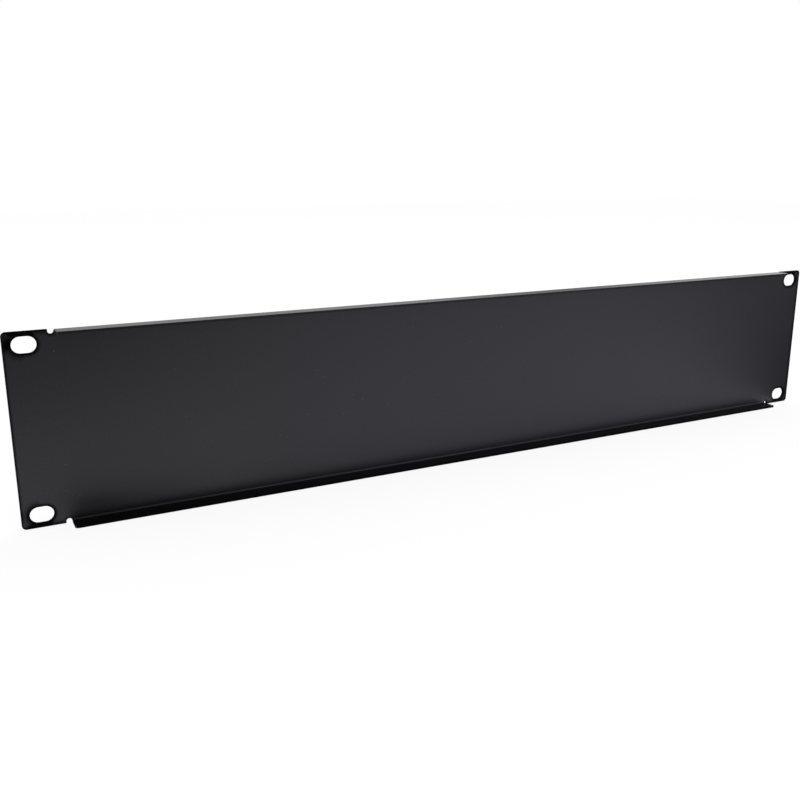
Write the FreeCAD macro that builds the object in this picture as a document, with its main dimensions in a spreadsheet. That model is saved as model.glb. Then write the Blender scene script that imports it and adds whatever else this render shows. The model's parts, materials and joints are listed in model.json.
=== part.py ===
import FreeCAD, Part
import math
import os

import Sketcher

# Blanking panel for a 19-inch rack, two units high: one piece of folded sheet steel.
#
# The frame stands as the panel does in the rack: +Z up, +X across it, the smooth front
# face towards -Y and the two folded flanges towards +Y. The origin is the centre of the
# four screw slots, on the rear face of the ears, which is the face that seats on the rails.

NODE = "blanking_panel"

# Driving dimensions in millimetres: alias, value, meaning.
SIZES = [
    ("panel_width", 482.6, "Width over both ears"),
    ("panel_height", 88.1, "Height: two units of 44.45 less the gap to the neighbours"),
    ("sheet_thickness", 1.2, "Steel sheet"),
    ("fold_depth", 10.0, "Front face to the free edges of the flanges"),
    ("fold_length", 440.5, "Flanges, end to end"),
    ("fold_radius", 0.8, "Inside radius of both bends"),
    ("relief_width", 2.5, "U-shaped bend relief beside each end of a flange"),
    ("relief_depth", 2.1, "Bend relief, from the edge of the ear"),
    ("ear_corner_radius", 2.0, "Outer corners of the ears"),
    ("flange_corner_radius", 1.5, "Free corners of the flanges"),
    ("slot_length", 10.2, "Screw slot, end to end"),
    ("slot_width", 7.3, "Screw slot, across"),
    ("slot_pitch_x", 465.1, "Between the slots of the two ears"),
    ("slot_pitch_z", 76.2, "Between the two slots of an ear"),
]
SIZE = {alias: value for alias, value, meaning in SIZES}

# Elements that every sketch has: its origin point and its horizontal axis.
ORIGIN = (-1, 1)
HORIZONTAL_AXIS = -1
VERTICAL_AXIS = -2
START, END, CENTRE = 1, 2, 3


def make_sheet(doc):
    """Spreadsheet of the driving dimensions, one alias to a row."""
    sheet = doc.addObject("Spreadsheet::Sheet", "sizes")
    for row, (alias, value, meaning) in enumerate(SIZES, start=1):
        sheet.set("A%d" % row, meaning)
        sheet.set("B%d" % row, str(value))
        sheet.setAlias("B%d" % row, alias)
    doc.recompute()
    return sheet


def origin_plane(body, role):
    """The body's own origin plane with this role."""
    planes = [feature for feature in body.Origin.OriginFeatures if feature.Role == role]
    return planes[0]


def make_sketch(body, name, role):
    """Empty sketch on one of the body's origin planes."""
    sketch = body.newObject("Sketcher::SketchObject", name)
    sketch.AttachmentSupport = [(origin_plane(body, role), "")]
    sketch.MapMode = "FlatFace"
    return sketch


def add_line(sketch, first, last):
    """Line between two (horizontal, vertical) points; returns its index."""
    line = Part.LineSegment(FreeCAD.Vector(*first), FreeCAD.Vector(*last))
    return sketch.addGeometry(line, False)


def add_arc(sketch, centre, radius, first_deg, last_deg):
    """Counter-clockwise arc between two angles; returns its index."""
    circle = Part.Circle(FreeCAD.Vector(*centre), FreeCAD.Vector(0, 0, 1), radius)
    arc = Part.ArcOfCircle(circle, math.radians(first_deg), math.radians(last_deg))
    return sketch.addGeometry(arc, False)


def constrain(sketch, kind, *elements):
    """Add one constraint without a size."""
    sketch.addConstraint(Sketcher.Constraint(kind, *elements))


def drive(sketch, name, kind, elements, formula):
    """Add one dimension, at the size that is drawn, and bind it to the sheet."""
    if kind == "Radius":
        drawn = sketch.Geometry[elements[0]].Radius
    else:
        span = sketch.getPoint(*elements[2:]) - sketch.getPoint(*elements[:2])
        drawn = span.x if kind == "DistanceX" else span.y
    index = sketch.addConstraint(Sketcher.Constraint(kind, *elements, drawn))
    sketch.renameConstraint(index, name)
    sketch.setExpression("Constraints." + name, formula)


def draw_fold_section(sketch):
    """C-shaped section of the bent sheet: web, two bends and two flanges.

    The sketch's horizontal is the panel's depth and its vertical the panel's height.
    """
    thickness = SIZE["sheet_thickness"]
    inner = SIZE["fold_radius"]
    outer = inner + thickness
    top = SIZE["panel_height"] / 2
    free = SIZE["fold_depth"] - thickness
    bend = top - outer

    outer_top = add_line(sketch, (free, top), (inner, top))
    outer_top_bend = add_arc(sketch, (inner, bend), outer, 90, 180)
    front = add_line(sketch, (-thickness, bend), (-thickness, -bend))
    outer_low_bend = add_arc(sketch, (inner, -bend), outer, 180, 270)
    outer_low = add_line(sketch, (inner, -top), (free, -top))
    low_edge = add_line(sketch, (free, -top), (free, thickness - top))
    inner_low = add_line(sketch, (free, thickness - top), (inner, thickness - top))
    inner_low_bend = add_arc(sketch, (inner, -bend), inner, 180, 270)
    rear = add_line(sketch, (0, -bend), (0, bend))
    inner_top_bend = add_arc(sketch, (inner, bend), inner, 90, 180)
    inner_top = add_line(sketch, (inner, top - thickness), (free, top - thickness))
    top_edge = add_line(sketch, (free, top - thickness), (free, top))

    constrain(sketch, "Tangent", outer_top, END, outer_top_bend, START)
    constrain(sketch, "Tangent", outer_top_bend, END, front, START)
    constrain(sketch, "Tangent", front, END, outer_low_bend, START)
    constrain(sketch, "Tangent", outer_low_bend, END, outer_low, START)
    constrain(sketch, "Tangent", inner_low, END, inner_low_bend, END)
    constrain(sketch, "Tangent", inner_low_bend, START, rear, START)
    constrain(sketch, "Tangent", rear, END, inner_top_bend, END)
    constrain(sketch, "Tangent", inner_top_bend, START, inner_top, START)
    constrain(sketch, "Coincident", outer_low, END, low_edge, START)
    constrain(sketch, "Coincident", low_edge, END, inner_low, START)
    constrain(sketch, "Coincident", inner_top, END, top_edge, START)
    constrain(sketch, "Coincident", top_edge, END, outer_top, START)
    constrain(sketch, "Coincident", outer_top_bend, CENTRE, inner_top_bend, CENTRE)
    constrain(sketch, "Coincident", outer_low_bend, CENTRE, inner_low_bend, CENTRE)
    for line in (outer_top, inner_top, outer_low, inner_low):
        constrain(sketch, "Horizontal", line)
    for line in (front, rear, top_edge, low_edge):
        constrain(sketch, "Vertical", line)
    constrain(sketch, "PointOnObject", rear, START, VERTICAL_AXIS)
    constrain(sketch, "Equal", inner_top_bend, inner_low_bend)
    constrain(sketch, "Symmetric", outer_top, START, outer_low, END, HORIZONTAL_AXIS)

    drive(sketch, "inside_radius", "Radius", [inner_top_bend], "sizes.fold_radius")
    drive(sketch, "thickness", "DistanceX", [front, START, rear, END], "sizes.sheet_thickness")
    drive(sketch, "depth", "DistanceX", [front, START, outer_top, START], "sizes.fold_depth")
    drive(sketch, "height", "DistanceY", [outer_low, END, outer_top, START], "sizes.panel_height")


def draw_ear(sketch):
    """Outline of the right ear, from the middle of its bend reliefs to its outer edge."""
    top = SIZE["panel_height"] / 2
    inside = (SIZE["fold_length"] + SIZE["relief_width"]) / 2
    outside = SIZE["panel_width"] / 2
    corner = SIZE["ear_corner_radius"]

    low = add_line(sketch, (inside, -top), (outside - corner, -top))
    low_corner = add_arc(sketch, (outside - corner, corner - top), corner, 270, 360)
    side = add_line(sketch, (outside, corner - top), (outside, top - corner))
    top_corner = add_arc(sketch, (outside - corner, top - corner), corner, 0, 90)
    high = add_line(sketch, (outside - corner, top), (inside, top))
    joint = add_line(sketch, (inside, top), (inside, -top))

    constrain(sketch, "Tangent", low, END, low_corner, START)
    constrain(sketch, "Tangent", low_corner, END, side, START)
    constrain(sketch, "Tangent", side, END, top_corner, START)
    constrain(sketch, "Tangent", top_corner, END, high, START)
    constrain(sketch, "Coincident", high, END, joint, START)
    constrain(sketch, "Coincident", joint, END, low, START)
    constrain(sketch, "Horizontal", low)
    constrain(sketch, "Horizontal", high)
    constrain(sketch, "Vertical", side)
    constrain(sketch, "Equal", low_corner, top_corner)
    constrain(sketch, "Symmetric", low, START, high, END, HORIZONTAL_AXIS)

    drive(sketch, "corner", "Radius", [top_corner], "sizes.ear_corner_radius")
    drive(sketch, "inside", "DistanceX", [*ORIGIN, high, END],
          "(sizes.fold_length + sizes.relief_width) / 2")
    drive(sketch, "outside", "DistanceX", [*ORIGIN, side, START], "sizes.panel_width / 2")
    drive(sketch, "height", "DistanceY", [low, START, high, END], "sizes.panel_height")


def draw_relief(sketch):
    """U-shaped notch between the top flange and the right ear, open past the edge."""
    left = SIZE["fold_length"] / 2
    right = left + SIZE["relief_width"]
    radius = SIZE["relief_width"] / 2
    middle = left + radius
    edge = SIZE["panel_height"] / 2
    level = edge - SIZE["relief_depth"] + radius
    mouth = edge + radius

    inner_wall = add_line(sketch, (left, mouth), (left, level))
    bottom = add_arc(sketch, (middle, level), radius, 180, 360)
    outer_wall = add_line(sketch, (right, level), (right, mouth))
    opening = add_line(sketch, (right, mouth), (left, mouth))

    constrain(sketch, "Tangent", inner_wall, END, bottom, START)
    constrain(sketch, "Tangent", bottom, END, outer_wall, START)
    constrain(sketch, "Coincident", outer_wall, END, opening, START)
    constrain(sketch, "Coincident", opening, END, inner_wall, START)
    constrain(sketch, "Vertical", inner_wall)
    constrain(sketch, "Vertical", outer_wall)
    constrain(sketch, "Horizontal", opening)

    drive(sketch, "radius", "Radius", [bottom], "sizes.relief_width / 2")
    drive(sketch, "wall", "DistanceX", [*ORIGIN, inner_wall, START], "sizes.fold_length / 2")
    drive(sketch, "level", "DistanceY", [*ORIGIN, bottom, CENTRE],
          "sizes.panel_height / 2 - sizes.relief_depth + sizes.relief_width / 2")
    drive(sketch, "mouth", "DistanceY", [*ORIGIN, opening, START],
          "(sizes.panel_height + sizes.relief_width) / 2")


def draw_slot(sketch):
    """Round-ended screw slot of the upper right corner."""
    radius = SIZE["slot_width"] / 2
    reach = (SIZE["slot_length"] - SIZE["slot_width"]) / 2
    across = SIZE["slot_pitch_x"] / 2
    level = SIZE["slot_pitch_z"] / 2

    right_end = add_arc(sketch, (across + reach, level), radius, -90, 90)
    upper = add_line(sketch, (across + reach, level + radius), (across - reach, level + radius))
    left_end = add_arc(sketch, (across - reach, level), radius, 90, 270)
    lower = add_line(sketch, (across - reach, level - radius), (across + reach, level - radius))

    constrain(sketch, "Tangent", right_end, END, upper, START)
    constrain(sketch, "Tangent", upper, END, left_end, START)
    constrain(sketch, "Tangent", left_end, END, lower, START)
    constrain(sketch, "Tangent", lower, END, right_end, START)
    constrain(sketch, "Horizontal", upper)
    constrain(sketch, "Horizontal", lower)

    drive(sketch, "radius", "Radius", [right_end], "sizes.slot_width / 2")
    drive(sketch, "right_centre", "DistanceX", [*ORIGIN, right_end, CENTRE],
          "(sizes.slot_pitch_x + sizes.slot_length - sizes.slot_width) / 2")
    drive(sketch, "left_centre", "DistanceX", [*ORIGIN, left_end, CENTRE],
          "(sizes.slot_pitch_x - sizes.slot_length + sizes.slot_width) / 2")
    drive(sketch, "level", "DistanceY", [*ORIGIN, right_end, CENTRE], "sizes.slot_pitch_z / 2")


def add_pad(body, name, sketch, side_type, formula):
    """Pad of a sketch, its length bound to the sheet."""
    pad = body.newObject("PartDesign::Pad", name)
    pad.Profile = sketch
    pad.SideType = side_type
    pad.setExpression("Length", formula)
    return pad


def add_cut(body, name, sketch):
    """Pocket of a sketch through the whole body, both ways from the sketch."""
    pocket = body.newObject("PartDesign::Pocket", name)
    pocket.Profile = sketch
    pocket.SideType = "Symmetric"
    pocket.Type = "ThroughAll"
    return pocket


def add_mirror(body, name, role, originals):
    """Copies of features on the far side of one of the body's origin planes."""
    mirror = body.newObject("PartDesign::Mirrored", name)
    mirror.Originals = originals
    mirror.MirrorPlane = (origin_plane(body, role), [""])
    return mirror


def free_corner_edges(shape):
    """Names of the edges across the sheet at the free corners of the flanges."""
    at_end = SIZE["fold_length"] / 2
    at_edge = SIZE["fold_depth"] - SIZE["sheet_thickness"]
    names = []
    for number, edge in enumerate(shape.Edges, start=1):
        middle = edge.CenterOfMass
        if math.dist((abs(middle.x), middle.y), (at_end, at_edge)) < 0.1:
            names.append("Edge%d" % number)
    return names


def make_panel(doc):
    """The folded panel as one body: bent section, ears, reliefs, slots and corners."""
    body = doc.addObject("PartDesign::Body", NODE)
    body.Label = NODE

    section = make_sketch(body, "fold_section", "YZ_Plane")
    draw_fold_section(section)
    add_pad(body, "folded_channel", section, "Symmetric", "sizes.fold_length + sizes.relief_width")

    ear_outline = make_sketch(body, "ear_outline", "XZ_Plane")
    draw_ear(ear_outline)
    ear = add_pad(body, "right_ear", ear_outline, "One side", "sizes.sheet_thickness")
    body.Tip = add_mirror(body, "left_ear", "YZ_Plane", [ear])

    relief_outline = make_sketch(body, "relief_outline", "XZ_Plane")
    draw_relief(relief_outline)
    relief = add_cut(body, "bend_relief", relief_outline)

    slot_outline = make_sketch(body, "slot_outline", "XZ_Plane")
    draw_slot(slot_outline)
    slot = add_cut(body, "screw_slot", slot_outline)

    corners = body.newObject("PartDesign::MultiTransform", "four_corners")
    corners.Originals = [relief, slot]
    corners.Transformations = [
        add_mirror(body, "to_left_ear", "YZ_Plane", []),
        add_mirror(body, "to_lower_edge", "XY_Plane", []),
    ]
    body.Tip = corners
    doc.recompute()

    rounding = body.newObject("PartDesign::Fillet", "flange_corners")
    rounding.Base = (corners, free_corner_edges(corners.Shape))
    rounding.setExpression("Radius", "sizes.flange_corner_radius")
    body.Tip = rounding
    doc.recompute()
    return body


def check_document(doc):
    """Stop if any object failed, because a recompute doesn't raise."""
    for thing in doc.Objects:
        if "Invalid" in thing.State or "Error" in thing.State:
            raise RuntimeError("%s failed: %s" % (thing.Name, thing.State))
        if thing.TypeId == "Sketcher::SketchObject" and not thing.FullyConstrained:
            raise RuntimeError("%s is not fully constrained" % thing.Name)
        if thing.TypeId == "PartDesign::Pocket":
            if thing.Shape.Volume > thing.BaseFeature.Shape.Volume - 1:
                raise RuntimeError("%s cuts nothing" % thing.Name)


def check_shape(shape):
    """Stop unless the body is one sound solid inside its envelope."""
    if shape.isNull() or not shape.isValid() or len(shape.Solids) != 1:
        raise RuntimeError("the panel is not one valid solid")
    box = shape.BoundBox
    found = (box.XLength, box.YLength, box.ZLength)
    wanted = (SIZE["panel_width"], SIZE["fold_depth"], SIZE["panel_height"])
    if any(abs(one - other) > 0.01 for one, other in zip(found, wanted)):
        raise RuntimeError("the panel measures %.2f x %.2f x %.2f" % found)


document = FreeCAD.newDocument("rack_blanking_panel")
make_sheet(document)
panel = make_panel(document)
check_document(document)
check_shape(panel.Shape)
os.makedirs("parts", exist_ok=True)
panel.Shape.exportStep("parts/%s.step" % panel.Label)
print("%s: %.1f cm3, %d faces" % (panel.Label, panel.Shape.Volume / 1000, len(panel.Shape.Faces)))
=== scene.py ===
import json
import math

import bmesh
import bpy
from mathutils import Matrix, Vector, geometry


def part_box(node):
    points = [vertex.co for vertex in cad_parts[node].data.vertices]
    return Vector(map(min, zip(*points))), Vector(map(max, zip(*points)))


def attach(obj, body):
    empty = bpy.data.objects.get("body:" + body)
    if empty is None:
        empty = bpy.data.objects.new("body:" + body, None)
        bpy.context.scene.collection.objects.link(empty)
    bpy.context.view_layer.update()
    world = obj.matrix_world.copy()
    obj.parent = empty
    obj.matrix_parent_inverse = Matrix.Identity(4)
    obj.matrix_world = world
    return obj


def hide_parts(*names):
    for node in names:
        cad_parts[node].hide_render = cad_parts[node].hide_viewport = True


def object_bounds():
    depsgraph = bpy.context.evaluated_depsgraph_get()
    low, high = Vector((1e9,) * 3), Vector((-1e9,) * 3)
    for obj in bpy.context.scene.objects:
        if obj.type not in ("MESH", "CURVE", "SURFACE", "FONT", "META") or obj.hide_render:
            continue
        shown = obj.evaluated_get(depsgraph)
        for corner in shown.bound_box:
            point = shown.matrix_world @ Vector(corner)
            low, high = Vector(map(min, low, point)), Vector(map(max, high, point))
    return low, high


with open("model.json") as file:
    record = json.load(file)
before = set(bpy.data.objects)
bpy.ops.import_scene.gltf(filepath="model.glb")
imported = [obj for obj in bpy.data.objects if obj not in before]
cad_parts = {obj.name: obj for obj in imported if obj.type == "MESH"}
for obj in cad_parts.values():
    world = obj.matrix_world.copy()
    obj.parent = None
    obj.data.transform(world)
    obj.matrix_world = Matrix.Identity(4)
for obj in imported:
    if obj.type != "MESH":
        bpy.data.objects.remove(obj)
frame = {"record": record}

# Rack blanking panel, seen from behind: black powder coat on folded steel sheet.
# All lengths are metres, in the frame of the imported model: +Z up, front face at -Y.

NODE = "blanking_panel"
CAD_LOW, CAD_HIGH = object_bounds()

# ---------------------------------------------------------------- sizes of the panel

PANEL_LOW, PANEL_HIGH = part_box(NODE)
MOUNTS = {mount["name"]: mount for mount in frame["record"]["mounts"]}
SCREWS = MOUNTS["rack_screws"]["dims"]

HALF_WIDTH = PANEL_HIGH.x
HALF_HEIGHT = PANEL_HIGH.z
FREE_EDGE = PANEL_HIGH.y
SHEET = -PANEL_LOW.y                # the rear face of the web is the plane y = 0

FOLD_HALF_LENGTH = 0.4405 / 2       # flanges, end to end
FOLD_RADIUS = 0.0008                # inside of the bend
RELIEF_WIDTH = 0.0025
RELIEF_DEPTH = 0.0021
RELIEF_RADIUS = RELIEF_WIDTH / 2
RELIEF_CORNER = 0.0003              # where a relief opens at the edge of the ear
EAR_START = FOLD_HALF_LENGTH + RELIEF_WIDTH
EAR_CORNER = 0.0020
FLANGE_CORNER = 0.0015
SLOT_RADIUS = SCREWS["hole_r_mm"] / 1000
SLOT_REACH = SCREWS["slot_length_mm"] / 2000 - SLOT_RADIUS
SLOT_X = SCREWS["spacing_x_mm"] / 2000
SLOT_Z = SCREWS["spacing_y_mm"] / 2000

EDGE_ROUND = 0.00022                # the coat rounds every cut edge of the sheet

# Measured along the flat blank, at the middle of the sheet.
MID_RADIUS = FOLD_RADIUS + SHEET / 2
BEND_START = HALF_HEIGHT - FOLD_RADIUS - SHEET
BEND_LENGTH = MID_RADIUS * math.pi / 2
BLANK_HALF = BEND_START + BEND_LENGTH + FREE_EDGE - FOLD_RADIUS
RELIEF_MIDDLE = FOLD_HALF_LENGTH + RELIEF_RADIUS
RELIEF_LEVEL = HALF_HEIGHT - RELIEF_DEPTH + RELIEF_RADIUS  # centre of its round bottom

# Steps of the mesh along each stretch of the outline.
CORNER_STEPS = 10                   # a rounded corner, or a quarter of a relief
MOUTH_STEPS = 5
LOW_ARC_STEPS = 4                   # a relief, from its bottom to the start of the bend
HIGH_ARC_STEPS = 8                  # and on from there to the flange's end
BEND_STEPS = 8
SLOT_STEPS = 16                     # one end of a screw slot
EDGE_STEPS = 4                      # each rounded side of a cut edge


# ---------------------------------------------------------------- the folded sheet
#
# The mesh is made as the real sheet is. Its outline is drawn flat, in the blank's own
# coordinates (x, s), where s runs up the web, round the bend and out along the flange.
# Each outline point carries the outward direction in the blank's plane, so that rings
# set in from the edge round it over. The blank is then bent: (x, s, n) goes to 3-D,
# where n is the height above the middle of the sheet, towards the front face.


def arc(centre, radius, first_deg, last_deg, steps, hollow=False):
    """Points of an arc with their outward directions; a hollow arc bounds a cut."""
    points = []
    for step in range(steps + 1):
        angle = math.radians(first_deg + (last_deg - first_deg) * step / steps)
        way = (math.cos(angle), math.sin(angle))
        point = (centre[0] + radius * way[0], centre[1] + radius * way[1])
        points.append((point, (-way[0], -way[1]) if hollow else way))
    return points


def ear_outline():
    """Upper right quarter: ear corner, mouth of the bend relief and down to its bottom."""
    corner = (HALF_WIDTH - EAR_CORNER, HALF_HEIGHT - EAR_CORNER)
    mouth = (EAR_START + RELIEF_CORNER, HALF_HEIGHT - RELIEF_CORNER)
    run = arc(corner, EAR_CORNER, 0, 90, CORNER_STEPS)
    run += arc(mouth, RELIEF_CORNER, 90, 180, MOUTH_STEPS)
    return run + relief_arc(0, -90, CORNER_STEPS)


def relief_outline():
    """From the bottom of the relief to where the bend starts, both ends left out."""
    return relief_arc(-90, bend_angle(), LOW_ARC_STEPS)[1:-1]


def flange_outline():
    """From where the bend starts, up the end of the bend and flange to its free edge."""
    run = relief_arc(bend_angle(), -180, HIGH_ARC_STEPS)
    climb = BEND_START + BEND_LENGTH - RELIEF_LEVEL
    for step in range(1, BEND_STEPS + 1):
        along = RELIEF_LEVEL + climb * step / BEND_STEPS
        run.append(((FOLD_HALF_LENGTH, along), (1.0, 0.0)))
    corner = (FOLD_HALF_LENGTH - FLANGE_CORNER, BLANK_HALF - FLANGE_CORNER)
    return run + arc(corner, FLANGE_CORNER, 0, 90, CORNER_STEPS)


def relief_arc(first_deg, last_deg, steps):
    """Stretch of the relief's round bottom."""
    centre = (RELIEF_MIDDLE, RELIEF_LEVEL)
    return arc(centre, RELIEF_RADIUS, first_deg, last_deg, steps, hollow=True)


def bend_angle():
    """Angle on the relief's bottom at which the rounded-over edge meets the bend."""
    rise = RELIEF_LEVEL - BEND_START
    return math.degrees(math.asin(rise / (RELIEF_RADIUS + EDGE_ROUND))) - 180


def slot_outline(across, level):
    """Closed outline of one round-ended slot."""
    right = (across + SLOT_REACH, level)
    left = (across - SLOT_REACH, level)
    run = arc(right, SLOT_RADIUS, -90, 90, SLOT_STEPS, hollow=True)
    return run + arc(left, SLOT_RADIUS, 90, 270, SLOT_STEPS, hollow=True)


def mirrored(run, flip_x, flip_s):
    """A run of outline points in another quarter of the panel, kept counter-clockwise."""
    sign_x = -1 if flip_x else 1
    sign_s = -1 if flip_s else 1
    turned = [
        ((x * sign_x, s * sign_s), (way_x * sign_x, way_s * sign_s))
        for (x, s), (way_x, way_s) in run
    ]
    return turned if flip_x == flip_s else turned[::-1]


def edge_profile():
    """(inset, height, tilt) of each ring round an edge, from the rear face to the front.

    tilt is the angle between the surface and the rear face's own direction.
    """
    rings = []
    for middle, start in ((EDGE_ROUND - SHEET / 2, 0), (SHEET / 2 - EDGE_ROUND, 90)):
        for step in range(EDGE_STEPS + 1):
            tilt = math.radians(start + 90 * step / EDGE_STEPS)
            inset = EDGE_ROUND * (1 - math.sin(tilt))
            rings.append((inset, middle - EDGE_ROUND * math.cos(tilt), tilt))
    return rings


def bend(x, s, n, way):
    """Place of a point of the blank in 3-D, and its direction; the ears stay flat."""
    across, along, out = way
    past = abs(s) - BEND_START
    if past <= 0 or abs(x) > RELIEF_MIDDLE:
        return Vector((x, -SHEET / 2 - n, s)), Vector((across, -out, along))
    side = math.copysign(1, s)
    turn = min(past / MID_RADIUS, math.pi / 2)
    beyond = max(0.0, past - BEND_LENGTH)
    radius = MID_RADIUS + n
    sine, cosine = math.sin(turn), math.cos(turn)
    depth = FOLD_RADIUS - radius * cosine + beyond
    climb = along * side
    tilted = Vector((across, climb * sine - out * cosine, side * (climb * cosine + out * sine)))
    return Vector((x, depth, side * (BEND_START + radius * sine))), tilted


class SheetMesh:
    """Vertices, faces and exact surface directions of the folded sheet."""

    def __init__(self):
        self.places = []
        self.ways = []
        self.faces = []

    def ring(self, outline, inset, height, tilt):
        """One ring of vertices set in from an outline; returns their indices."""
        first = len(self.places)
        for (x, s), (way_x, way_s) in outline:
            way = (way_x * math.sin(tilt), way_s * math.sin(tilt), -math.cos(tilt))
            place, tilted = bend(x - inset * way_x, s - inset * way_s, height, way)
            self.places.append(place)
            self.ways.append(tilted.normalized())
        return list(range(first, len(self.places)))

    def rim(self, outline):
        """The rounded edge along a closed outline; returns its rear and front rings."""
        rings = [self.ring(outline, *profile) for profile in edge_profile()]
        count = len(outline)
        for low, high in zip(rings, rings[1:]):
            for one in range(count):
                two = (one + 1) % count
                self.faces.append((low[one], low[two], high[two], high[one]))
        return rings[0], rings[-1]

    def ladder(self, left, right):
        """Quads between two runs of vertices."""
        for step in range(len(left) - 1):
            self.faces.append((left[step], left[step + 1], right[step + 1], right[step]))

    def fill(self, outer, holes):
        """Triangles over a flat stretch with holes in it."""
        loops = [outer, *holes]
        order = [index for loop in loops for index in loop]
        flat = [[self.places[index].xz for index in loop] for loop in loops]
        for triangle in geometry.tessellate_polygon(flat):
            self.faces.append(tuple(order[corner] for corner in triangle))

    def to_object(self, name):
        """A mesh object whose shading follows the exact surface directions."""
        mesh = bpy.data.meshes.new(name)
        mesh.from_pydata(self.places, [], self.faces)
        solid = bmesh.new()
        solid.from_mesh(mesh)
        bmesh.ops.recalc_face_normals(solid, faces=solid.faces)
        for face in solid.faces:
            face.smooth = True
        solid.to_mesh(mesh)
        solid.free()
        mesh.normals_split_custom_set_from_vertices(self.ways)
        panel = bpy.data.objects.new(name, mesh)
        bpy.context.scene.collection.objects.link(panel)
        return panel


def make_panel():
    """The folded sheet: its rims, then both faces of the web, ears, bends and flanges."""
    ear, relief, flange = ear_outline(), relief_outline(), flange_outline()
    quarter = ear + relief + flange
    count = len(quarter)
    bottom = len(ear) - 1
    rise = len(ear) + len(relief)
    flips = ((False, False), (True, False), (True, True), (False, True))

    sheet = SheetMesh()
    outline = [point for flip in flips for point in mirrored(quarter, *flip)]
    rims = sheet.rim(outline)
    slots = {
        (side, end): sheet.rim(slot_outline(side * SLOT_X, end * SLOT_Z)[::-1])
        for side in (1, -1) for end in (1, -1)
    }
    for face, ring in enumerate(rims):
        corners = [ring[place * count:(place + 1) * count] for place in range(4)]
        corners = [run if place % 2 == 0 else run[::-1] for place, run in enumerate(corners)]
        upper_right, upper_left, lower_left, lower_right = corners
        sheet.ladder(upper_left[rise:], upper_right[rise:])
        sheet.ladder(lower_right[rise:], lower_left[rise:])
        sheet.faces.append(tuple(
            upper_right[bottom:rise + 1] + upper_left[bottom:rise + 1][::-1]
            + lower_left[bottom:rise + 1] + lower_right[bottom:rise + 1][::-1]
        ))
        for side, upper, lower in ((1, upper_right, lower_right), (-1, upper_left, lower_left)):
            outer = lower[:bottom + 1][::-1] + upper[:bottom + 1]
            sheet.fill(outer, [slots[side, end][face] for end in (1, -1)])
    return sheet.to_object("folded_panel")


# ---------------------------------------------------------------- powder coat


class Nodes:
    """Short calls for adding and joining shader nodes."""

    def __init__(self, tree):
        self.tree = tree
        tree.nodes.clear()

    def add(self, kind, inputs=(), **settings):
        """A node with settings, and inputs given as values or as other nodes' sockets."""
        node = self.tree.nodes.new(kind)
        for name, value in settings.items():
            setattr(node, name, value)
        for name, value in dict(inputs).items():
            if isinstance(value, bpy.types.NodeSocket):
                self.tree.links.new(value, node.inputs[name])
            else:
                node.inputs[name].default_value = value
        return node

    def math(self, operation, first, second=0.0, clamp=False):
        """Result of a maths node."""
        inputs = {0: first, 1: second}
        node = self.add("ShaderNodeMath", inputs, operation=operation, use_clamp=clamp)
        return node.outputs[0]

    def length(self, across, along):
        """Length of the diagonal of two distances."""
        squares = (self.math("POWER", across, 2.0), self.math("POWER", along, 2.0))
        return self.math("SQRT", self.math("ADD", *squares))

    def mix_add(self, share, shift, color):
        """Colour shifted by a share of another."""
        inputs = {0: share, 1: shift, 2: color}
        return self.add("ShaderNodeVectorMath", inputs, operation="MULTIPLY_ADD").outputs[0]

    def noise(self, vector, scale, detail=2.0, roughness=0.5):
        """Value of a noise texture, about 0 to 1 round 0.5."""
        inputs = {"Vector": vector, "Scale": scale, "Detail": detail, "Roughness": roughness}
        return self.add("ShaderNodeTexNoise", inputs).outputs["Fac"]

    def bump(self, height, strength, distance, normal=None):
        """Surface direction roughened by a height, on top of another direction if given."""
        inputs = {"Strength": strength, "Distance": distance, "Height": height}
        if normal is not None:
            inputs["Normal"] = normal
        return self.add("ShaderNodeBump", inputs).outputs[0]

    def spread(self, value, low, high, to_low, to_high):
        """Value carried from one range to another, and held inside it."""
        inputs = {"Value": value, "From Min": low, "From Max": high,
                  "To Min": to_low, "To Max": to_high}
        return self.add("ShaderNodeMapRange", inputs).outputs["Result"]


COAT_COLOR = (0.0027, 0.0026, 0.0026)
# Painted light: past the ramp below, the coat's colour takes a cool tint of the room's light.
PAINTED_COOL_TINT = (0.0003, 0.0, 0.0038)  # added past the ramp below, towards the -X end
COOL_FROM = 0.17                    # X where the cooler shade starts
COOL_TO = 0.05                      # and where it is full
COAT_IOR = 1.5
GLOSS_LEVEL = 0.60
# Painted light: the cool tint of the room's light, given to every reflection of the coat.
GLOSS_TINT = (0.92, 0.90, 1.0, 1.0)

# The coat's three noises, with their scales in cells to the metre and their usual ranges.
CLOUD_SCALE = 14.0
CLOUD_RANGE = (0.3, 0.7)
CLOUD_TONE = (0.85, 1.15)
CLOUD_ROUGHNESS = (0.37, 0.42)
PEEL_SCALE = 650.0
PEEL_STRENGTH = 0.7
PEEL_HEIGHT = 0.00004
GRAIN_SCALE = 2200.0
GRAIN_RANGE = (0.25, 0.75)
GRAIN_TONE = (0.8, 1.2)
GRAIN_ROUGHNESS = (-0.03, 0.03)
GRAIN_STRENGTH = 0.5
GRAIN_HEIGHT = 0.00002
SPECK_START = 0.5                   # the grain reflects less from here up to its top
SPECK_DULLNESS = 0.35

NIB_CELLS = 200.0                   # cells to the metre
NIB_SHARE = 0.35                    # of the cells that hold a nib, a grain in the coat
NIB_RADIUS = 0.0005
NIB_HEIGHT = 0.00010
NIB_PALENESS = (0.036, 0.036, 0.038)
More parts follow.
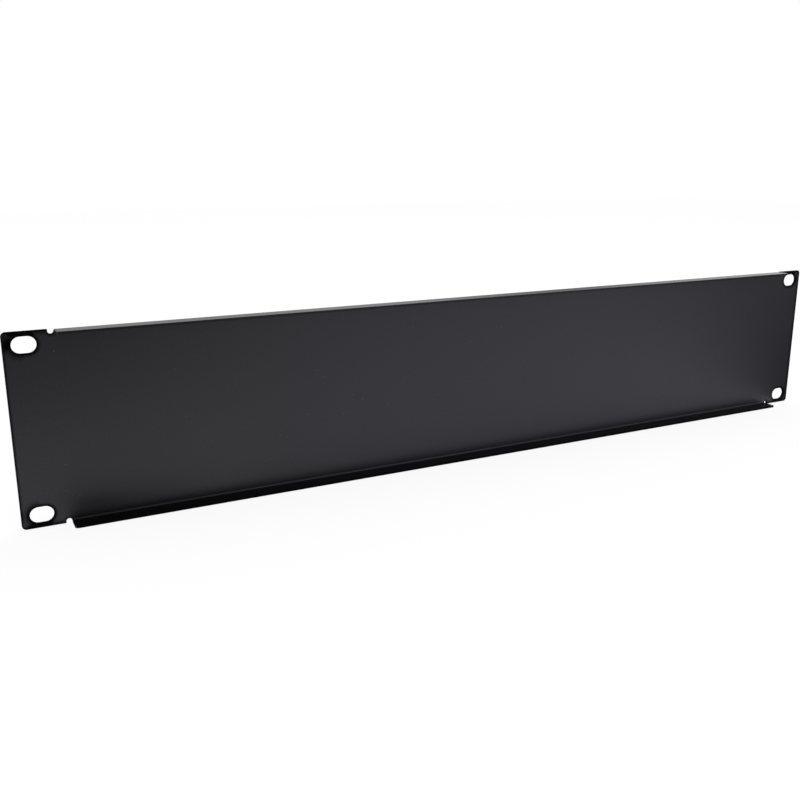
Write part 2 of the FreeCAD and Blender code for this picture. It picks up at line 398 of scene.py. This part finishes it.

# Painted shade: by its cut edges the rear side's coat is painted darker, with its reflection
# taken away, and this fades into the plain coat at these distances from them.
EDGE_CORE = 0.0004                  # fully dull from the edge to here
SLOT_RING = 0.0021                  # round a slot
OUTER_RING = 0.0036                 # round the outer ends of the two slots at the +X end
RELIEF_RING = 0.0016                # round a bend relief
EAR_END_BAND = 0.0026               # along the top and bottom of an ear
EAR_SIDE_BAND = 0.0015              # along the ear's side at the +X end
CORNER_BAND = 0.0026                # added to that beside the upper slot and above it
FAR_SIDE_BAND = 0.0036              # along the ear's side at the -X end
SIDE_SHADE = 0.8
# Painted shade on the flanges' free edges, darker on the lower one, and in the folds on their
# inner sides.
LOW_RIM_SHADE = 1.0              # of the free edge of the lower flange
TOP_RIM_SHADE = 0.5              # and of the upper flange
FLANGE_SHADE = 0.5               # of the inner sides of both flanges
EDGE_SHADE_TONE = 0.3
EDGE_ROUGHNESS = 0.45               # added where the edge is more than half dull
EDGE_SHADE_BLACKNESS = 0.88


def painted_edge_shade(nodes, place):
    """Painted shade on the coat: up to 1 at slots, reliefs, cut edges and the flanges' inner
    sides, and 0 away from them.
    """
    apart = nodes.add("ShaderNodeSeparateXYZ", {"Vector": place}).outputs
    across = nodes.math("ABSOLUTE", apart["X"])
    level = nodes.math("ABSOLUTE", apart["Z"])

    slot_x = nodes.math("ABSOLUTE", nodes.math("SUBTRACT", across, SLOT_X))
    slot_x = nodes.math("MAXIMUM", nodes.math("SUBTRACT", slot_x, SLOT_REACH), 0.0)
    slot_z = nodes.math("SUBTRACT", level, SLOT_Z)
    slot = nodes.math("SUBTRACT", nodes.length(slot_x, slot_z), SLOT_RADIUS)

    relief_x = nodes.math("SUBTRACT", across, RELIEF_MIDDLE)
    relief_z = nodes.math("MAXIMUM", nodes.math("SUBTRACT", RELIEF_LEVEL, level), 0.0)
    relief = nodes.math("SUBTRACT", nodes.length(relief_x, relief_z), RELIEF_RADIUS)

    side = nodes.math("SUBTRACT", HALF_WIDTH, across)
    end = nodes.math("SUBTRACT", HALF_HEIGHT, level)
    end = nodes.math("MAXIMUM", end, nodes.math("SUBTRACT", EAR_START, across))

    outer = nodes.spread(apart["X"], SLOT_X, SLOT_X + SLOT_REACH, 0.0, 1.0)
    ring = nodes.spread(outer, 0.0, 1.0, SLOT_RING, OUTER_RING)
    near_slot = nodes.spread(slot, EDGE_CORE, ring, 1.0, 0.0)
    near_end = nodes.spread(end, EDGE_CORE, EAR_END_BAND, 1.0, 0.0)
    band = nodes.spread(apart["X"], -SLOT_X, SLOT_X, FAR_SIDE_BAND, EAR_SIDE_BAND)
    wider = nodes.spread(apart["Z"], SLOT_Z - SLOT_RADIUS, SLOT_Z, 0.0, CORNER_BAND)
    band = nodes.math("ADD", band, nodes.math("MULTIPLY", wider, outer))
    near_side = nodes.spread(side, EDGE_CORE, band, SIDE_SHADE, 0.0)
    near_relief = nodes.spread(relief, 0.0, RELIEF_RING, 1.0, 0.0)
    on_web = nodes.spread(apart["Y"], 0.0, FOLD_RADIUS, 1.0, 0.0)
    near_relief = nodes.math("MULTIPLY", near_relief, on_web)
    near_end = nodes.math("MAXIMUM", near_end, near_relief)
    near = nodes.math("ADD", near_slot, nodes.math("MAXIMUM", near_end, near_side), clamp=True)
    behind = nodes.spread(apart["Y"], -SHEET, -SHEET / 2, 0.0, 1.0)
    near = nodes.math("MULTIPLY", near, behind)

    out = nodes.spread(apart["Y"], 0.0, FOLD_RADIUS * 2, 0.0, 1.0)
    rim = nodes.spread(apart["Y"], FREE_EDGE - EDGE_CORE, FREE_EDGE - EDGE_ROUND, 0.0, 1.0)
    by_height = nodes.spread(
        apart["Z"], 0.0, HALF_HEIGHT / 2, LOW_RIM_SHADE, TOP_RIM_SHADE)
    rim = nodes.math("MULTIPLY", rim, by_height)
    cut_end = nodes.spread(across, FOLD_HALF_LENGTH - EDGE_CORE, FOLD_HALF_LENGTH, 0.0, 1.0)
    cut_end = nodes.math("MULTIPLY", cut_end, out)
    inside = nodes.spread(
        level, HALF_HEIGHT - SHEET, HALF_HEIGHT - SHEET / 2, FLANGE_SHADE, 0.0)
    inside = nodes.math("MULTIPLY", inside, out)
    flange = nodes.math("MAXIMUM", nodes.math("MAXIMUM", rim, cut_end), inside)
    return nodes.math("MAXIMUM", near, flange)


def powder_coat():
    """Semi-matte black powder coat: orange peel, dull specks, nibs, and painted shade by the cut
    edges.
    """
    material = bpy.data.materials.new("black_powder_coat")
    material.use_nodes = True
    nodes = Nodes(material.node_tree)
    place = nodes.add("ShaderNodeTexCoord").outputs["Object"]

    grain = nodes.noise(place, GRAIN_SCALE, 2.0, 0.6)
    peel = nodes.noise(place, PEEL_SCALE, 1.5)
    cloud = nodes.noise(place, CLOUD_SCALE, 3.0)
    # Painted shade by the cut edges: 1 next to them and 0 away from them.
    edge = painted_edge_shade(nodes, place)

    cells = nodes.add("ShaderNodeTexVoronoi", {"Vector": place, "Scale": NIB_CELLS}).outputs
    nib = nodes.spread(cells["Distance"], 0.0, NIB_RADIUS * NIB_CELLS, 1.0, 0.0)
    chosen = nodes.add("ShaderNodeSeparateColor", {"Color": cells["Color"]}).outputs[0]
    nib = nodes.math("MULTIPLY", nib, nodes.math("LESS_THAN", chosen, NIB_SHARE))

    tone = nodes.spread(cloud, *CLOUD_RANGE, *CLOUD_TONE)
    tone = nodes.math("MULTIPLY", tone, nodes.spread(grain, *GRAIN_RANGE, *GRAIN_TONE))
    # Painted shade: the coat's colour darkens by the cut edges.
    tone = nodes.math("MULTIPLY", tone, nodes.spread(edge, 0.0, 1.0, 1.0, EDGE_SHADE_TONE))
    across = nodes.add("ShaderNodeSeparateXYZ", {"Vector": place}).outputs["X"]
    # Painted light: a cool tint of the room's light, towards the -X end.
    cool = nodes.spread(across, COOL_FROM, COOL_TO, 0.0, 1.0)
    color = nodes.mix_add(cool, PAINTED_COOL_TINT, COAT_COLOR)
    color = nodes.add("ShaderNodeVectorMath", {0: color, "Scale": tone}, operation="SCALE")
    color = nodes.mix_add(nib, NIB_PALENESS, color.outputs[0])

    rough = nodes.spread(cloud, *CLOUD_RANGE, *CLOUD_ROUGHNESS)
    rough = nodes.math("ADD", rough, nodes.spread(grain, *GRAIN_RANGE, *GRAIN_ROUGHNESS))
    rough = nodes.math("ADD", rough, nodes.spread(edge, 0.5, 1.0, 0.0, EDGE_ROUGHNESS))
    specks = nodes.spread(grain, SPECK_START, GRAIN_RANGE[1], 0.0, SPECK_DULLNESS)
    # A metal as black as the coat reflects almost nothing, so Metallic takes the sheen away at the
    # dull specks and paints shade by the cut edges.
    black = nodes.math("MAXIMUM", nodes.spread(edge, 0.0, 1.0, 0.0, EDGE_SHADE_BLACKNESS), specks)

    coarse = nodes.bump(peel, PEEL_STRENGTH, PEEL_HEIGHT)
    fine = nodes.bump(grain, GRAIN_STRENGTH, GRAIN_HEIGHT, coarse)
    raised = nodes.bump(nib, 1.0, NIB_HEIGHT, fine)
    surface = nodes.add("ShaderNodeBsdfPrincipled", {
        "Base Color": color, "Metallic": black, "Roughness": rough, "IOR": COAT_IOR,
        "Specular IOR Level": GLOSS_LEVEL, "Specular Tint": GLOSS_TINT, "Normal": raised})
    nodes.add("ShaderNodeOutputMaterial", {"Surface": surface.outputs[0]})
    return material


# ---------------------------------------------------------------- studio

WHITE = (1.0, 1.0, 1.0, 1.0)
FLOOR_HALF = 3.0
FLOOR_GAP = 0.0002                  # keeps the floor out of the plane of the lower flange
FLOOR_PAINT = (0.92, 0.92, 0.92, 1.0)
FLOOR_GLOW_SEEN = 0.88              # share of glow in the floor, as the camera sees it
FLOOR_GLOW_REFLECTED = 0.6          # and as the coat reflects it

FLAG_LEVEL = CAD_LOW.z + 0.001      # flags stand or lie just above the floor
BACK_WALL_Y = 0.75                  # behind the camera
BACK_WALL_HALF = 2.5                # half its width
BACK_WALL_TOP = 2.5
FRONT_WALL_Y = -1.3                 # on the side of the panel's front face
FRONT_WALL_LOW_X = -2.2
FRONT_WALL_HIGH_X = -0.6
FRONT_WALL_TOP = 1.2

# Each flag's glow runs straight between these stops: (place across the flag, strength).
BACK_WALL_GLOW = ((-1.05, 0.25), (-0.9, 1.0), (-0.6, 0.9), (-0.3, 0.7), (-0.05, 0.45), (0.12, 0.0))
UNDER_CAMERA_GLOW = ((-0.4, 0.9), (-0.05, 0.85), (0.08, 0.75), (0.2, 0.25), (0.5, 0.1))
NEAR_END_GLOW = ((0.14, 1.0), (0.19, 0.35), (0.205, 0.0))
FAR_END_GLOW = ((0.09, 1.0), (0.175, 0.05))
FRONT_WALL_GLOW = (
    (-1.75, 1.7), (-1.5, 1.1), (-1.3, 0.8), (-1.12, 0.3), (-0.95, 0.45), (-0.7, 1.0),
)

# Outlines of the flags that lie on the floor, as (x, y).
UNDER_CAMERA = ((-0.364, 0.2), (1.2, 0.2), (1.2, 0.74), (-0.9, 0.74))
NEAR_END = ((0.14, 0.011), (0.218, 0.011), (0.218, 0.026), (0.14, 0.026))
FAR_END = ((-0.235, 0.0), (-0.235, 0.07), (-0.9, 0.74), (-1.5, 0.74), (-1.5, 0.0))
ALONG_X = (1, 0, 0)
AWAY_FROM_FAR_END = (-0.66, -0.75, 0)

LAMP_PLACE = (-0.9, -0.5, 1.4)
LAMP_TARGET = (0, 0, 0)
LAMP_SIZE = 1.2
LAMP_WATTS = 10.0


def make_floor():
    """White floor just under the panel, which keeps its soft shadow; clear from below."""
    mesh = bpy.data.meshes.new("floor")
    level = CAD_LOW.z - FLOOR_GAP
    signs = ((-1, -1), (1, -1), (1, 1), (-1, 1))
    corners = [(x * FLOOR_HALF, y * FLOOR_HALF, level) for x, y in signs]
    mesh.from_pydata(corners, [], [(0, 1, 2, 3)])
    floor = bpy.data.objects.new("floor", mesh)
    bpy.context.scene.collection.objects.link(floor)

    material = bpy.data.materials.new("white_floor")
    material.use_nodes = True
    nodes = Nodes(material.node_tree)
    path = nodes.add("ShaderNodeLightPath").outputs
    seen = nodes.math("MAXIMUM", path["Is Camera Ray"], path["Is Transmission Ray"])
    seen = nodes.math("MULTIPLY", seen, FLOOR_GLOW_SEEN)
    reflected = nodes.math("MULTIPLY", path["Is Glossy Ray"], FLOOR_GLOW_REFLECTED)
    share = nodes.math("MAXIMUM", seen, reflected)
    paint = nodes.add("ShaderNodeBsdfDiffuse", {"Color": FLOOR_PAINT})
    glow = nodes.add("ShaderNodeEmission", {"Color": WHITE, "Strength": 1.0})
    mixed = nodes.add("ShaderNodeMixShader", {0: share, 1: paint.outputs[0], 2: glow.outputs[0]})
    below = nodes.add("ShaderNodeNewGeometry").outputs["Backfacing"]
    clear = nodes.add("ShaderNodeBsdfTransparent")
    sided = nodes.add("ShaderNodeMixShader", {0: below, 1: mixed.outputs[0], 2: clear.outputs[0]})
    nodes.add("ShaderNodeOutputMaterial", {"Surface": sided.outputs[0]})
    material.cycles.emission_sampling = "NONE"
    mesh.materials.append(material)


def make_flag(name, corners, across, glow):
    """Card that only reflections see; the stops of its glow run in the direction across."""
    mesh = bpy.data.meshes.new(name)
    mesh.from_pydata(corners, [], [tuple(range(len(corners)))])
    flag = bpy.data.objects.new(name, mesh)
    bpy.context.scene.collection.objects.link(flag)
    flag.visible_camera = False
    flag.visible_diffuse = False
    flag.visible_shadow = False

    material = bpy.data.materials.new(name)
    material.use_nodes = True
    nodes = Nodes(material.node_tree)
    place = nodes.add("ShaderNodeTexCoord").outputs["Object"]
    place = nodes.add("ShaderNodeVectorMath", {0: place, 1: across}, operation="DOT_PRODUCT")
    strength = glow[0][1]
    for (near, near_glow), (far, far_glow) in zip(glow, glow[1:]):
        part = nodes.spread(place.outputs["Value"], near, far, 0.0, far_glow - near_glow)
        strength = nodes.math("ADD", part, strength)
    glowing = nodes.add("ShaderNodeEmission", {"Color": WHITE, "Strength": strength})
    nodes.add("ShaderNodeOutputMaterial", {"Surface": glowing.outputs[0]})
    material.cycles.emission_sampling = "NONE"
    mesh.materials.append(material)


def wall_corners(y, low_x, high_x, top):
    """Corners of a flag that stands on the floor and faces along Y."""
    return [(low_x, y, FLAG_LEVEL), (high_x, y, FLAG_LEVEL), (high_x, y, top), (low_x, y, top)]


def floor_corners(outline):
    """Corners of a flag that lies on the floor."""
    return [(x, y, FLAG_LEVEL) for x, y in outline]


def add_flags():
    """The darker parts of the room that the coat reflects: walls, and patches of the floor, one of
    them a painted shadow.
    """
    back = wall_corners(BACK_WALL_Y, -BACK_WALL_HALF, BACK_WALL_HALF, BACK_WALL_TOP)
    front = wall_corners(FRONT_WALL_Y, FRONT_WALL_LOW_X, FRONT_WALL_HIGH_X, FRONT_WALL_TOP)
    make_flag("wall_behind_camera", back, ALONG_X, BACK_WALL_GLOW)
    make_flag("floor_under_camera", floor_corners(UNDER_CAMERA), ALONG_X, UNDER_CAMERA_GLOW)
    # Painted shadow: this patch of floor, dark by the panel's near end, stands in for the floor's
    # shade there as the coat reflects it.
    make_flag("floor_shadow_by_near_end", floor_corners(NEAR_END), ALONG_X, NEAR_END_GLOW)
    make_flag("floor_past_far_end", floor_corners(FAR_END), AWAY_FROM_FAR_END, FAR_END_GLOW)
    make_flag("wall_in_front_of_panel", front, ALONG_X, FRONT_WALL_GLOW)


def make_world():
    """Plain white surroundings, which light every side alike."""
    world = bpy.data.worlds.new("studio")
    world.use_nodes = True
    nodes = Nodes(world.node_tree)
    room = nodes.add("ShaderNodeBackground", {"Color": WHITE, "Strength": 1.0})
    nodes.add("ShaderNodeOutputWorld", {"Surface": room.outputs[0]})
    bpy.context.scene.world = world


def add_lamp():
    """Softbox high in front of the panel, on its -X side."""
    light = bpy.data.lights.new("key", "AREA")
    light.shape = "SQUARE"
    light.size = LAMP_SIZE
    light.energy = LAMP_WATTS
    lamp = bpy.data.objects.new("key", light)
    lamp.location = LAMP_PLACE
    way = Vector(LAMP_TARGET) - Vector(LAMP_PLACE)
    lamp.rotation_euler = way.to_track_quat("-Z", "Y").to_euler()
    bpy.context.scene.collection.objects.link(lamp)


# ---------------------------------------------------------------- camera

EYE = Vector((0.2649, 0.4036, 0.1108))
LOOK_AT = Vector((0.0541, 0.0, -0.0076))
ROLL_DEG = -0.12
LENS_MM = 40.56
SENSOR_MM = 36.0
CLIP_START = 0.01


def make_camera():
    """Camera behind the panel, above it and near its +X end."""
    data = bpy.data.cameras.new("camera")
    data.lens = LENS_MM
    data.sensor_width = SENSOR_MM
    data.clip_start = CLIP_START
    camera = bpy.data.objects.new("camera", data)
    turn = (LOOK_AT - EYE).to_track_quat("-Z", "Y").to_matrix()
    turn = turn @ Matrix.Rotation(math.radians(ROLL_DEG), 3, "Z")
    camera.matrix_world = Matrix.Translation(EYE) @ turn.to_4x4()
    bpy.context.scene.collection.objects.link(camera)
    bpy.context.scene.camera = camera


# ---------------------------------------------------------------- scene

panel = make_panel()
panel.data.materials.append(powder_coat())
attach(panel, "root")
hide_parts(NODE)

make_floor()
make_world()
add_flags()
add_lamp()
make_camera()
bpy.context.scene.view_settings.view_transform = "Standard"
